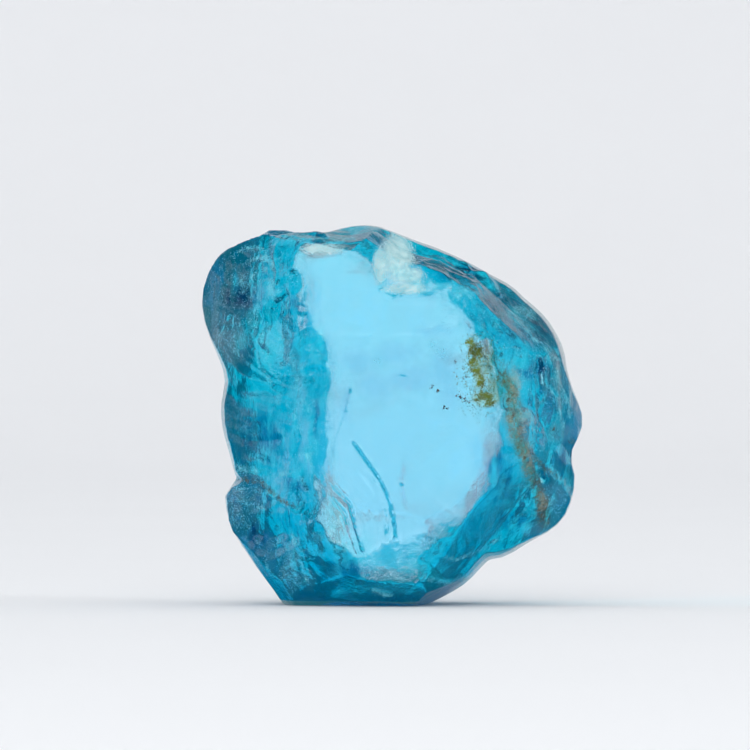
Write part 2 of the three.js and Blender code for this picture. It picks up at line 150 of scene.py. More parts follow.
# Raised streaks on the broken flanks: half width, height, how pale they are, and the line. The paleness is
# a painted highlight along them, strewn as pale grains.
STREAKS = {
    "crest of the lower lobe": (0.07, 0.05, 0.9, [
        (-3.3, 2.86), (-2.74, 2.82), (-2.4, 2.74), (-2.1, 2.78),
    ]),
    "rib under the crest": (0.05, 0.03, 0.8, [(-3.45, 2.46), (-2.99, 2.42), (-2.44, 2.34)]),
    "second rib": (0.04, 0.03, 0.6, [(-3.4, 2.2), (-3, 2.15), (-2.6, 2)]),
    "band streak low": (0.06, 0.05, 0.6, [(-1.9, 3.7), (-1.72, 3.1), (-1.6, 2.46)]),
    "band streak high": (0.05, 0.05, 0.4, [
        (-1.94, 4.4), (-2.02, 3.87), (-1.81, 3.45), (-1.94, 2.93), (-1.81, 2.4),
    ]),
    "band streak inner": (0.04, 0.04, 0.5, [(-1.6, 3.95), (-1.77, 3.54), (-1.64, 3.2)]),
    "toe streak": (0.04, 0.04, 0.7, [(-2.06, 1.5), (-1.95, 1.2), (-1.85, 0.93), (-1.77, 0.48)]),
    "toe streak inner": (0.03, 0.03, 0.4, [(-1.9, 1.3), (-1.75, 0.95), (-1.65, 0.6)]),
    "oval facet": (0.04, 0.04, 0.3, [
        (-2.5, 1.28), (-2.62, 1), (-2.55, 0.7), (-2.3, 0.48), (-2.14, 0.7), (-2.12, 1), (-2.25, 1.3),
        (-2.5, 1.28),
    ]),
    "outer bow": (0.03, 0.03, 0.8, [(-2.7, 5.75), (-2.82, 5.35), (-2.74, 4.97), (-2.5, 4.66)]),
    "middle bow": (0.03, 0.03, 0.6, [(-2.55, 5.7), (-2.63, 5.31), (-2.53, 4.93), (-2.34, 4.7)]),
    "inner bow": (0.03, 0.025, 0.6, [(-2.36, 5.6), (-2.42, 5.31), (-2.29, 4.97)]),
    "lobe sparkle": (0.05, 0.03, 0.6, [(-2.8, 6.25), (-2.86, 5.9), (-2.84, 5.7)]),
    "upper arc": (0.04, 0.03, 0.8, [(-3.3, 7.3), (-3.05, 7.5), (-2.75, 7.48), (-2.55, 7.3)]),
    "upper arc below": (0.04, 0.03, 0.7, [(-3.1, 7.1), (-2.85, 7.28), (-2.6, 7.24), (-2.4, 7.08)]),
    "third arc": (0.04, 0.03, 0.6, [(-3, 6.85), (-2.7, 7), (-2.4, 6.9)]),
    "lobe fork": (0.04, 0.03, 0.6, [(-3.2, 6.5), (-2.95, 6.75), (-2.8, 7)]),
    "lavender streak": (0.1, 0.04, 0.35, [(-2.2, 5.55), (-2, 4.82), (-1.78, 4.1)]),
    "brow edge": (0.06, 0.03, 0.6, [(-2.2, 7.72), (-1.7, 7.62), (-1.2, 7.6), (-0.8, 7.66)]),
    "right flank streak": (0.05, 0.04, 0.7, [(3.37, 4.9), (3.5, 4.4), (3.66, 3.98)]),
    "right flank streak inner": (0.05, 0.04, 0.5, [(3.16, 4.7), (3.35, 4.2), (3.5, 3.75)]),
    "facet streak": (0.06, 0.02, 0.6, [(2.6, 5.95), (2.95, 5.6), (3.24, 5.28)]),
    "facet foot": (0.04, 0.03, 0.5, [(2.6, 5.25), (3, 5.22), (3.45, 5.16)]),
    "top band": (0.08, 0.03, 0.8, [(0.75, 6.66), (1.1, 6.64), (1.6, 6.48)]),
    "notch ledge": (0.1, 0.05, 1, [(0.05, 7.02), (0.3, 6.85), (0.6, 6.72)]),
    "ring hollow": (0.035, 0.03, 0.7, [
        (0.5, 6.68), (0.6, 6.57), (0.8, 6.57), (0.9, 6.68), (0.75, 6.78), (0.58, 6.76), (0.5, 6.68),
    ]),
    "toe highlight": (0.05, 0.03, 0.9, [(-0.36, 0.34), (-0.2, 0.3), (-0.06, 0.26)]),
    "foot streak": (0.04, 0.03, 0.6, [(0.9, 1.1), (1.3, 1), (1.8, 1.15), (2.2, 1.4)]),
    "foot streak below": (0.04, 0.03, 0.5, [(0.7, 0.6), (1.1, 0.5), (1.6, 0.62)]),
    "foot sparkle": (0.04, 0.03, 0.7, [(0.45, 1.3), (0.62, 1.12), (0.6, 0.95), (0.8, 1)]),
    "lower rim": (0.04, 0.03, 0.3, [(-3.2, 1.98), (-2.95, 1.56), (-2.74, 1.24)]),
}

# Parts of the flanks that are scaly, where the rest is smooth.
SCALY_PATCHES = [
    (-2.9, 6.9, 1, 0.9), (-1.9, 5.9, 0.5, 1.1), (-2.6, 1.9, 1, 0.75), (-1.75, 1.2, 0.4, 0.9),
    (1.3, 6.9, 1.6, 0.45), (3.1, 4.3, 0.8, 1.1), (3, 2.2, 0.7, 0.8), (1.2, 1.3, 0.4, 0.4),
]

# The crystal's tone where no patch says another: at the back, on the glassy face, on the flanks. Painted
# light and shade: the glassy face paler, the flanks darker.
BACK_TONE, GLASSY_TONE, FLANK_TONE = (0.05, 0.97, 1), (0.25, 0.96, 0.99), (0, 0.7, 0.8)

# The tone along the brown vein.
BROWN_TONE = (0.4, 0.5, 0.2)

# Patches of the front with a tone of their own, in the order they are laid: colour, strength, patches. Most
# are painted light and shade: darker patches as painted shade and dark reflections, paler ones as painted
# highlights and haze; the greens, yellow, beige and frost are the crystal's own stain and frost.
TONES = {
    # Painted shade: darker, deeper blue patches where little light comes through.
    "painted deep shade": ((0, 0.18, 0.34), 1, [
        (-1.85, 6.32, 0.22, 0.26), (-1.72, 5.86, 0.2, 0.28), (-1.47, 5.25, 0.09, 0.14),
        (-3.1, 6.45, 0.5, 0.3), (-1.56, 3.9, 0.12, 0.6), (-2.7, 3.5, 0.45, 0.7), (-0.95, 0.8, 0.5, 0.26),
        (-2.85, 1.5, 0.22, 0.4), (2.17, 2.75, 0.32, 0.66), (2.6, 1.75, 0.4, 0.3), (3.75, 3.1, 0.3, 0.4),
        (1.4, 6.95, 0.55, 0.22), (2.2, 6.3, 0.3, 0.2), (2.9, 4.9, 0.4, 0.3), (-2, 2.55, 0.3, 0.2),
    ]),
    # Painted shade: a dimmer belt across the middle of the glassy face.
    "painted shade across the middle": ((0.08, 0.76, 0.91), 0.9, [
        (-0.7, 5.1, 0.45, 0.3), (0.1, 5.25, 0.5, 0.25), (0.35, 4.75, 0.6, 0.3), (-0.35, 4.6, 0.4, 0.35),
        (1.05, 4.9, 0.35, 0.5), (1.2, 4.4, 0.3, 0.3), (-1, 4.2, 0.16, 0.5), (0.9, 5.75, 0.5, 0.12),
    ]),
    # Painted shade: a darker blue rim round the glassy face.
    "painted shade round the glassy face": ((0.05, 0.85, 0.97), 1, [
        (1.8, 3.2, 0.2, 0.5), (1.65, 2.2, 0.3, 0.35), (1.1, 1.7, 0.5, 0.3), (-1.45, 3.3, 0.16, 1.2),
        (-1.65, 6.3, 0.16, 0.8),
    ]),
    # Painted highlight: a pale band on the fan.
    "painted highlight on the fan": ((0.1, 1, 1), 1, [(-1.15, 1.75, 0.3, 0.8), (-0.6, 1.2, 0.3, 0.4)]),
    # Painted light: bright cyan where light bent inside the crystal comes out.
    "painted cyan light": ((0.05, 1, 1), 1, [
        (1.2, 1.5, 0.3, 0.24), (0.9, 1.2, 0.2, 0.2), (0.8, 0.8, 0.7, 0.3), (0, 0.4, 0.8, 0.2),
        (-1.5, 5.6, 0.1, 0.3), (-1.75, 3.3, 0.14, 0.7), (-2, 2.75, 0.12, 0.12), (2.6, 5.1, 0.3, 0.15),
    ]),
    # Painted reflection: pale hazy patches on the flanks.
    "painted haze reflection": ((0.45, 0.97, 1), 0.8, [
        (-3.45, 5.56, 0.4, 0.6), (-2.45, 6.6, 0.15, 0.2), (-3.1, 6.8, 0.16, 0.16),
        (-2.4, 5.45, 0.4, 0.45), (-1.95, 4.8, 0.16, 0.75), (-3.3, 2.1, 0.25, 0.5), (-2.1, 0.8, 0.2, 0.5),
        (-1.6, 7.65, 0.8, 0.12), (2.7, 6.1, 0.45, 0.3), (3.6, 5, 0.14, 0.5), (1.2, 6.6, 0.5, 0.14),
        (3.4, 2.3, 0.3, 0.35), (3, 1.6, 0.4, 0.14), (0.1, 7.2, 0.4, 0.6), (-1.45, 7.42, 0.5, 0.16),
    ]),
    # Painted reflection: a dark purplish grey on the upper right facet.
    "painted purplish dark reflection": ((0.1, 0.22, 0.3), 0.9, [(2.85, 5.7, 0.6, 0.4), (-2, 5, 0.12, 0.4)]),
    # Painted reflection: dull, darker blue where the top right mirrors what is dark above.
    "painted dark blue reflection": ((0, 0.35, 0.48), 0.8, [(2.2, 6.2, 0.5, 0.35), (1.5, 6.85, 0.6, 0.25)]),
    # Painted highlight: a pale ribbon down the left band.
    "painted ribbon highlight": ((0.8, 0.9, 1), 0.8, [(-1.78, 3.3, 0.12, 0.6), (-1.9, 4.3, 0.1, 0.5)]),
    "dull green": ((0.55, 0.8, 0.7), 0.8, [
        (2.3, 4.7, 0.45, 0.6), (2.5, 3.9, 0.35, 0.5), (3.5, 3.6, 0.3, 0.2),
    ]),
    "green near the film": ((0.1, 0.28, 0.1), 0.9, [(1.95, 5.1, 0.3, 0.55), (2.1, 4.5, 0.4, 0.4)]),
    "yellow beside the film": ((0.35, 0.42, 0.03), 0.8, [
        (1.7, 5.25, 0.16, 0.4), (1.76, 4.72, 0.12, 0.2), (1.95, 4.3, 0.3, 0.16), (3.75, 3.4, 0.1, 0.06),
    ]),
    "beige haze": ((0.95, 0.82, 0.6), 0.9, [
        (2.6, 3.9, 0.3, 0.3), (2.5, 4.6, 0.14, 0.4), (2.8, 3.1, 0.14, 0.4), (3.1, 2.2, 0.12, 0.3),
    ]),
    "frost": ((0.92, 0.98, 0.96), 1, [(0.02, 7.3, 0.26, 0.55), (0.3, 6.85, 0.3, 0.14)]),
}

# Where the notch is frosted, and where a beige haze lies beside the vein.
FROST_PATCHES = [
    (0.1, 7.25, 0.36, 0.55), (-1.45, 7.44, 0.45, 0.12), (0.25, 6.62, 0.45, 0.12),
    (0.35, 6.85, 0.32, 0.18), (-0.25, 7.1, 0.16, 0.4),
]
HAZE_PATCHES = [
    (2.6, 3.8, 0.3, 0.4), (2.55, 4.6, 0.14, 0.4), (2.8, 3.1, 0.16, 0.4), (3.1, 2.2, 0.12, 0.3),
]

# Where the broken surface is crushed to pale grains, which also stand as painted highlights and glints, and
# last what share of the surface they take.
POWDER_AND_GLINT_PATCHES = [
    (-2.44, 6.61, 0.16, 0.22, 0.5), (-3.1, 6.8, 0.16, 0.16, 0.5), (-3.2, 6.6, 0.8, 0.7, 0.06),
    (-3.4, 5.6, 0.4, 0.6, 0.15), (-2.4, 5.4, 0.4, 0.5, 0.12), (-3.3, 2.1, 0.5, 0.7, 0.12),
    (-2.1, 0.8, 0.3, 0.5, 0.2), (-1.2, 1.75, 0.22, 0.55, 0.9), (-1.05, 1.3, 0.3, 0.2, 0.6),
    (2.7, 4.6, 0.3, 0.6, 0.12), (2.7, 6.1, 0.4, 0.2, 0.25), (1.3, 6.5, 0.5, 0.12, 0.35),
    (3.3, 2.2, 0.4, 0.4, 0.15), (3.5, 4.6, 0.3, 0.6, 0.12), (-1.6, 7.66, 0.8, 0.1, 0.25),
]

# The broad glassy face: its normal, and the outline of the part that lies in one plane, as (x, z),
# clockwise from the top left. It is raised or lowered to that plane by at most GLASSY_LIFT, and the
# surface beside it follows over GLASSY_REACH, and GLASSY_RUN times the height that it is moved by.
GLASSY_NORMAL = np.array((-0.04, -0.994, 0.1))
GLASSY_LIFT, GLASSY_REACH, GLASSY_RUN = 0.6, 0.25, 1.7
GLASSY_FACE = [
    (-1.86, 7.2), (-1.54, 7.5), (-1.1, 7.5), (-0.59, 7.17), (-0.36, 6.83), (0.03, 6.58), (0.82, 6.49),
    (1.39, 6.15), (1.64, 5.56), (1.85, 4.72), (1.95, 3.9), (2.18, 3.44), (1.95, 2.88), (1.84, 2.37),
    (1.56, 1.81), (1.16, 1.7), (0.71, 1.36), (0.32, 1.19), (0.26, 0.51), (-0.36, 0.57), (-0.64, 1.02),
    (-1.43, 1.3), (-1.38, 2.37), (-1.26, 3.39), (-1.26, 4.35), (-1.1, 4.8), (-1.21, 5.36), (-1.54, 5.87),
    (-1.72, 6.6),
]

# Layers of small breaks: width as a share of the facet size, how far they are drawn out, how they lean
# and are scooped, the mask where they lie, and the scale of the patches that have them.
RELIEF_LAYERS = [
    (4, 0.7, 0.02, 0.25, "open", 0), (1.8, 0.5, 0.03, 0.5, "open", 0.8),
    (2.4, 0.4, 0.03, 0.3, "crumble", 0), (1.2, 0.3, 0.04, 0.5, "crumble", 1.3),
]

# The slow bend that all breaks follow: its waves to a millimetre, and how far it goes.
BEND_SCALE, BEND_REACH = 1.6, 0.6

# Combed ridges along the broken edges: how far they are drawn out, how many to a millimetre, how deep.
COMB_STRETCH, COMB_SCALE, COMB_DEPTH = 0.16, 5.5, 0.06

# How many waves of the slow unevenness there are to a millimetre.
SWELL_SCALE = 1.1

# The hazier belt across the glassy face, from one height to the other.
HAZY_BELT = (4.1, 5.7)

# How far a place has to face the front, or the back, to count in part, and to count wholly.
FACING = (0.05, 0.45)

# Sizes of the waves that lines and patches wander by, in millimetres, and how far each kind wanders.
WANDER, GRIT = 0.3, 0.1
STREAK_BEND, TONE_BEND, BORDER_BEND = 0.05, 0.12, 0.12

# The name that the crystal's full surface is kept under, until the grains are strewn over it.
FINE_SURFACE = "fine crystal surface"

# The grains: slot, material and its roughness, and the inputs of their nodes: the mask, how many to a
# square millimetre where it is full, how far they gather in clumps, least and most size and how deep
# they sit, in millimetres, and their shape.
GRAIN_INPUTS = ("Mask", "Density", "Clumping", "Least size", "Most size", "Depth", "Shape")
THIN, STOUT, ROUND = (1.0, 1.0, 0.4), (1.0, 1.0, 0.6), (1.0, 1.0, 0.7)
GRAINS = {
    "iron_film": ("iron_stain", "olive iron film", 0.6, ("film", 20000.0, 0.8, 0.01, 0.03, 0.004, THIN)),
    "iron_veins": ("iron_stain", "brown iron vein", 0.7, ("veins", 9000.0, 1.0, 0.006, 0.022, 0.004, THIN)),
    "dark_specks": ("iron_stain", "dark specks", 0.5, ("specks", 4500.0, 0.5, 0.016, 0.04, 0.005, STOUT)),
    "beige_haze": ("iron_stain", "beige haze", 0.8, ("haze", 5000.0, 1.0, 0.006, 0.018, 0.003, ROUND)),
    # Pale crushed grains that are also painted glints and highlights.
    "crushed_grains_and_glints": (
        "apatite", "crushed powder", 0.8, ("powder_and_glints", 9500.0, 0.9, 0.007, 0.02, 0.002, ROUND)
    ),
    "notch_frost": ("apatite", "notch frost", 0.8, ("frost", 13000.0, 0.4, 0.008, 0.024, 0.003, ROUND)),
}

# Grains that keep their own colours: the lighter tone and the darker.
GRAIN_TONES = {
    "dark_specks": ((0.05, 0.04, 0.02), (0.01, 0.01, 0.005)),
    "beige_haze": ((0.5, 0.46, 0.36), (0.3, 0.28, 0.2)),
    # The pale crushed grains are partly painted glints and highlights.
    "crushed_grains_and_glints": ((0.28, 0.8, 0.88), (0.08, 0.6, 0.72)),
    "notch_frost": ((0.6, 0.8, 0.8), (0.42, 0.68, 0.7)),
}

# The darker tone of the film and of the veins, as shares of their colour.
FILM_SHADE, VEIN_SHADE = 0.45, 0.35

# The pale streaks in the surface, a painted haze that lightens the flanks in place of their hazy
# reflection: their tone, and their share on the flanks and on the glassy face.
PAINTED_HAZE_TONE, FLANK_PAINTED_HAZE, GLASSY_PAINTED_HAZE = (0.12, 1.0, 1.0, 1.0), 0.88, 0.08

# Roughness where the crystal is clearest, and what haze, the belt and frost add to it.
CLEAR, DULL, BELT, FROST = 0.07, 0.12, 0.26, 0.4

# The fine bumps: their strength, their height in metres, and the share of the combed ones.
BUMP_STRENGTH, BUMP_HEIGHT, COMBED_BUMP = 0.45, 0.00003, 0.3

# The unseen cards: the azimuths from and to, and the colour. They rise to CARD_TOP degrees, and the
# ceiling comes down to CEILING_EDGE degrees.
CARDS = {
    "card_front": ((-75, 75), (0.0, 0.07, 0.11)),
    "card_left": ((-135, -75), (0.0, 0.06, 0.09)),
    "card_right": ((75, 135), (0.05, 0.55, 0.72)),
}
CARD_TOP, CEILING_EDGE, CEILING_SHADE = 50, 32, (0.0, 0.09, 0.12)

# What the lights and the camera look at, in metres.
LIT_POINT, SEEN_POINT = Vector((0, 0, 0.004)), Vector((-0.00036, 0, 0.00482))

SEED = 5


# What a user would change


class CrystalSettings(bpy.types.PropertyGroup):
    step: bpy.props.FloatProperty(
        name="Surface step", description="Size of its faces, in millimetres", default=0.034, min=0.03
    )
    most_faces: bpy.props.IntProperty(
        name="Most triangles", description="The surface is thinned to this", default=195000
    )
    crisp_angle: bpy.props.FloatProperty(
        name="Crisp edges", description="Sharper edges stay crisp", subtype="ANGLE", default=0.5585
    )
    facet_size: bpy.props.FloatProperty(
        name="Facet size", description="Width of the small facets, in millimetres", default=0.2
    )
    facet_height: bpy.props.FloatProperty(name="Facet height", description="How they lean", default=1.0)
    grain_height: bpy.props.FloatProperty(
        name="Unevenness", description="Height of the slow waves, in millimetres", default=0.012
    )
    body_color: bpy.props.FloatVectorProperty(
        name="Body colour", description="What the crystal lets through", subtype="COLOR",
        min=0, max=1, default=(0.0, 0.962, 0.992),
    )
    density: bpy.props.FloatProperty(
        name="Depth of colour", description="Absorption per metre where nothing gets through", default=2700
    )
    clearness: bpy.props.FloatProperty(
        name="Clearness", description="Share of the light inside that haze doesn't scatter", default=0.89
    )
    ior: bpy.props.FloatProperty(name="Refraction", description="Index of apatite", default=1.63)


class StainSettings(bpy.types.PropertyGroup):
    ochre: bpy.props.FloatVectorProperty(
        name="Ochre", description="Colour of the film", subtype="COLOR",
        min=0, max=1, default=(0.13, 0.2, 0.001),
    )
    brown: bpy.props.FloatVectorProperty(
        name="Brown", description="Colour of the veins", subtype="COLOR",
        min=0, max=1, default=(0.14, 0.1, 0.02),
    )


class StudioSettings(bpy.types.PropertyGroup):
    camera_distance: bpy.props.FloatProperty(
        name="Camera distance", description="From the crystal", default=0.2, unit="LENGTH"
    )
    view_width: bpy.props.FloatProperty(
        name="View width", description="Width of the view at the crystal", default=0.01579, unit="LENGTH"
    )
    cove_radius: bpy.props.FloatProperty(
        name="Cove radius", description="Radius of the round pale backdrop", default=0.5, unit="LENGTH"
    )
    key_radiance: bpy.props.FloatProperty(name="Key", description="Brightness of the light", default=3.7)
    sky: bpy.props.FloatProperty(name="Sky", description="Light from all round", default=1.04)


# Small helpers


def group_settings():
    scene = bpy.context.scene
    return scene.crystal_settings, scene.stain_settings, scene.studio_settings


def ramp(low, high, value):
    """Nothing up to low, one from high on, and smooth between."""
    t = np.clip((value - low) / (high - low), 0, 1)
    return t * t * (3 - 2 * t)


def from_line(points, line):
    """The least distance of each point (x, z) from a line, and one on its left hand, else minus one."""
    line = np.array(line)
    best, side = np.full(len(points), np.inf), np.ones(len(points))
    for a, b in zip(line[:-1], line[1:]):
        along, off = b - a, points - a
        t = np.clip(off @ along / (along @ along), 0, 1)
        away = np.linalg.norm(points - (a + t[:, None] * along), axis=1)
        nearer = away < best
        side[nearer] = np.sign(along[0] * off[nearer, 1] - along[1] * off[nearer, 0])
        best = np.minimum(best, away)
    return best, side


def outside_of(points, outline):
    """How far each point (x, z) lies outside a closed outline, under zero where it is inside."""
    ring = np.array([*outline, outline[0]])
    inside = np.zeros(len(points), dtype=bool)
    for (ax, az), (bx, bz) in zip(ring[:-1], ring[1:]):
        crossed = (az > points[:, 1]) != (bz > points[:, 1])
        with np.errstate(divide="ignore", invalid="ignore"):
            meets = ax + (points[:, 1] - az) * (bx - ax) / (bz - az)
        inside ^= crossed & (points[:, 0] < meets)
    return np.where(inside, -1, 1) * from_line(points, ring)[0]


def unevenness(points, size):
    """Slow random waves of a size, from about minus one to one, at each place."""
    return np.array([noise.noise(Vector(point) / size) for point in points])


def two_waves(points, size):
    """Such waves in x and in z."""
    return np.stack([unevenness(points, size), unevenness(points + 9.0, size)], axis=1)


def patch_mask(points, patches):
    """One in the middle of any patch, falling to nothing at its edge."""
    best = np.zeros(len(points))
    for x, z, half_width, half_height in patches:
        away = np.linalg.norm((points - (x, z)) / (half_width, half_height), axis=1)
        best = np.maximum(best, 1 - ramp(0.4, 1.25, away))
    return best


def line_mask(points, strips, low, high):
    """One on any line, falling to nothing beside it, from low to high as shares of its width."""
    best = np.zeros(len(points))
    for width, line in strips.values():
        best = np.maximum(best, 1 - ramp(low * width, high * width, from_line(points, line)[0]))
    return best


def add_piece(name, data, material=None):
    """A new object in the scene: a mesh, a light or the camera."""
    piece = bpy.data.objects.new(name, data)
    bpy.context.scene.collection.objects.link(piece)
    if material:
        data.materials.append(material)
    return piece


def applied(piece):
    """Makes the piece's modifiers part of its mesh."""
    graph = bpy.context.evaluated_depsgraph_get()
    graph.update()
    made = bpy.data.meshes.new_from_object(piece.evaluated_get(graph))
    old = piece.data
    piece.modifiers.clear()
    piece.data = made
    bpy.data.meshes.remove(old)


def positions(mesh):
    out = np.empty(len(mesh.vertices) * 3)
    mesh.vertices.foreach_get("co", out)
    return out.reshape(-1, 3)


def vertex_normals(mesh):
    out = np.empty(len(mesh.vertices) * 3, dtype=np.float32)
    mesh.vertex_normals.foreach_get("vector", out)
    return out.reshape(-1, 3)


def new_material(name):
    """An empty material and its nodes."""
    material = bpy.data.materials.new(name)
    material.use_nodes = True
    material.node_tree.nodes.clear()
    return material, Nodes(material.node_tree)


class Nodes:
    """Adds nodes to a tree and joins them."""

    def __init__(self, tree):
        self.tree = tree

    def add(self, kind, values=None, **settings):
        node = self.tree.nodes.new(kind)
        for key, value in settings.items():
            setattr(node, key, value)
        for key, value in (values or {}).items():
            if isinstance(value, bpy.types.NodeSocket):
                self.tree.links.new(value, node.inputs[key])
            else:
                node.inputs[key].default_value = value
        return node

    def math(self, operation, *values):
        return self.add("ShaderNodeMath", dict(enumerate(values)), operation=operation).outputs[0]

    def times(self, a, b):
        return self.math("MULTIPLY", a, b)

    def plus(self, a, b):
        return self.math("ADD", a, b)

    def minus(self, a, b):
        return self.math("SUBTRACT", a, b)

    def mask(self, name):
        """What the surface stores under a name, in a geometry tree."""
        return self.add("GeometryNodeInputNamedAttribute", {"Name": name}, data_type="FLOAT").outputs[0]

    def vector(self, operation, *values):
        node = self.add("ShaderNodeVectorMath", dict(enumerate(values)), operation=operation)
        return node.outputs["Value" if operation == "DOT_PRODUCT" else "Vector"]

    def scaled(self, vector, factor):
        values = {0: vector, "Scale": factor}
        return self.add("ShaderNodeVectorMath", values, operation="SCALE").outputs["Vector"]

    def noise(self, place, scale, detail, roughness=0.5, output=0):
        values = {"Vector": place, "Scale": scale, "Detail": detail, "Roughness": roughness}
        return self.add("ShaderNodeTexNoise", values).outputs[output]

    def spread(self, value, low, high):
        """Nothing where the value is low, and one where it is high."""
        values = {"Value": value, "From Min": low, "From Max": high}
        return self.add("ShaderNodeMapRange", values).outputs[0]

    def mix(self, kind, factor, a, b):
        values = {"Factor": factor, "A": a, "B": b}
        return self.add("ShaderNodeMix", values, data_type=kind).outputs["Result"]

    def finish(self, geometry, material):
        """Ends a tree with plain meshes of one material."""
        real = self.add("GeometryNodeRealizeInstances", {"Geometry": geometry}).outputs[0]
        dressed = self.add("GeometryNodeSetMaterial", {"Geometry": real, "Material": material})
        self.add("NodeGroupOutput", {"Geometry": dressed.outputs[0]})


def new_group(name, kind, inputs, output):
    """The nodes of a new group, and its inputs. Their names are given for each kind of socket."""
    tree = bpy.data.node_groups.new(name, kind)
    for socket, labels in inputs.items():
        for label in labels:
            tree.interface.new_socket(label, in_out="INPUT", socket_type=f"NodeSocket{socket}")
    tree.interface.new_socket(output, in_out="OUTPUT", socket_type=f"NodeSocket{output}")
    nodes = Nodes(tree)
    return nodes, nodes.add("NodeGroupInput").outputs


# The crystal's surface


def relief_tree():
    """Moves the surface along its normal: rings, slow unevenness, and leaning facets where it broke."""
    inputs = {
        "Geometry": ["Geometry"],
        "Float": ["Facet size", "Facet height", "Unevenness"],
        "Material": ["Material"],
    }
    nodes, given = new_group("broken surface relief", "GeometryNodeTree", inputs, "Geometry")
    place = nodes.add("GeometryNodeInputPosition").outputs[0]
    masks = {name: nodes.mask(name) for name in ("crumble", "open", "rings", "keep")}

    warp = nodes.noise(place, BEND_SCALE, 2.0, output="Color")
    bent = nodes.vector("MULTIPLY_ADD", warp, (BEND_REACH, BEND_REACH, BEND_REACH), place)
    total = 0.0
    for width, flat, lean_share, scoop_share, mask, patch in RELIEF_LAYERS:
        stretched = nodes.vector("MULTIPLY", bent, (1.0, 1.0, flat))
        scale = nodes.math("DIVIDE", 1.0 / width, given["Facet size"])
        cells = nodes.add("ShaderNodeTexVoronoi", {"Vector": stretched, "Scale": scale, "Randomness": 1.0})
        lean = nodes.vector("SUBTRACT", cells.outputs["Color"], (0.5, 0.5, 0.5))
        away = nodes.vector("SUBTRACT", stretched, cells.outputs["Position"])
        plane = nodes.times(nodes.vector("DOT_PRODUCT", away, lean), lean_share)
        scoop = nodes.times(nodes.vector("DOT_PRODUCT", away, away), scoop_share)
        height = nodes.times(nodes.plus(plane, scoop), masks[mask])
        if patch:
            height = nodes.times(height, nodes.spread(nodes.noise(place, patch, 1.0), 0.4, 0.6))
        total = nodes.plus(total, height)
    ridge = nodes.noise(nodes.vector("MULTIPLY", bent, (1.0, 1.0, COMB_STRETCH)), COMB_SCALE, 2.0)
    ridge = nodes.math("ABSOLUTE", nodes.minus(ridge, 0.5))
    combs = nodes.times(nodes.times(ridge, -COMB_DEPTH), masks["crumble"])
    facets = nodes.times(nodes.plus(total, combs), given["Facet height"])

    swell = nodes.minus(nodes.noise(place, SWELL_SCALE, 3.0), 0.5)
    swell = nodes.times(swell, given["Unevenness"])
    height = nodes.plus(nodes.plus(facets, swell), masks["rings"])
    height = nodes.times(height, masks["keep"])
    offset = nodes.scaled(nodes.add("GeometryNodeInputNormal").outputs[0], height)
    moved = nodes.add("GeometryNodeSetPosition", {"Geometry": given["Geometry"], "Offset": offset})
    nodes.finish(moved.outputs[0], given["Material"])
    return nodes.tree


def add_nodes_modifier(piece, tree, values):
    """Adds the tree as a modifier, with its named inputs set."""
    modifier = piece.modifiers.new(tree.name, "NODES")
    modifier.node_group = tree
    sockets = {item.name: item.identifier for item in tree.interface.items_tree if item.in_out == "INPUT"}
    for name, value in values.items():
        modifier[sockets[name]] = value


def crystal_copy():
    """The crystal's solid as a mesh in millimetres, its loose triangles joined."""
    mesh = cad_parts[NODE].data.copy()
    mesh.transform(Matrix.Scale(1 / MM, 4))
    work = bmesh.new()
    work.from_mesh(mesh)
    bmesh.ops.remove_doubles(work, verts=work.verts, dist=0.0005)
    work.to_mesh(mesh)
    work.free()
    return mesh


def glassy_outside(at, normal, frayed):
    """How far each place lies outside the glassy face, whose border wanders. The back is outside."""
    wander = 0.08 * unevenness(at, 0.4) + frayed * unevenness(at, 0.12)
    faces_front = normal[:, 1] < -0.3
    return np.where(faces_front, outside_of(at[:, [0, 2]], GLASSY_FACE) + wander, 1.0)


def level_glassy_face(mesh):
    """Brings the broad face to one plane inside its outline, and lets go a short way outside it."""
    at, normal = positions(mesh), vertex_normals(mesh)
    flush = normal @ GLASSY_NORMAL > 0.995
    level = np.median(at[flush] @ GLASSY_NORMAL)
    short = level - at @ GLASSY_NORMAL
    reach = GLASSY_REACH + GLASSY_RUN * np.minimum(np.abs(short), GLASSY_LIFT)
    share = 1 - ramp(0.0, 1.0, glassy_outside(at, normal, 0.0) / reach)
    share[np.abs(short) > 2 * GLASSY_LIFT] = 0
    moved = at + GLASSY_NORMAL * (share * np.clip(short, -GLASSY_LIFT, GLASSY_LIFT))[:, None]
    mesh.vertices.foreach_set("co", moved.ravel())
    mesh.update()


def even_out(piece, step):
    """Makes the surface anew from faces of one size, without folds."""
    remesh = piece.modifiers.new("even faces", "REMESH")
    remesh.mode = "VOXEL"
    remesh.voxel_size = step
    remesh.use_smooth_shade = True
    smooth = piece.modifiers.new("soften steps", "SMOOTH")
    smooth.factor = 0.5
    smooth.iterations = 1
    applied(piece)


def add_streaks(rings, powder_and_glints, seen, wander):
    """Raises the streaks of the flanks, broken up along their length, and marks how pale they are: a
    painted highlight, strewn later as pale grains.
    """
    strength = np.clip(0.7 + 0.9 * wander, 0.1, 1.3)
    for width, height, pale, line in STREAKS.values():
        near = np.exp(-((from_line(seen, line)[0] / width) ** 2)) * strength
        rings += STREAK_RELIEF * height * near
        # Their paleness is a painted highlight.
        np.maximum(powder_and_glints, pale * near, out=powder_and_glints)


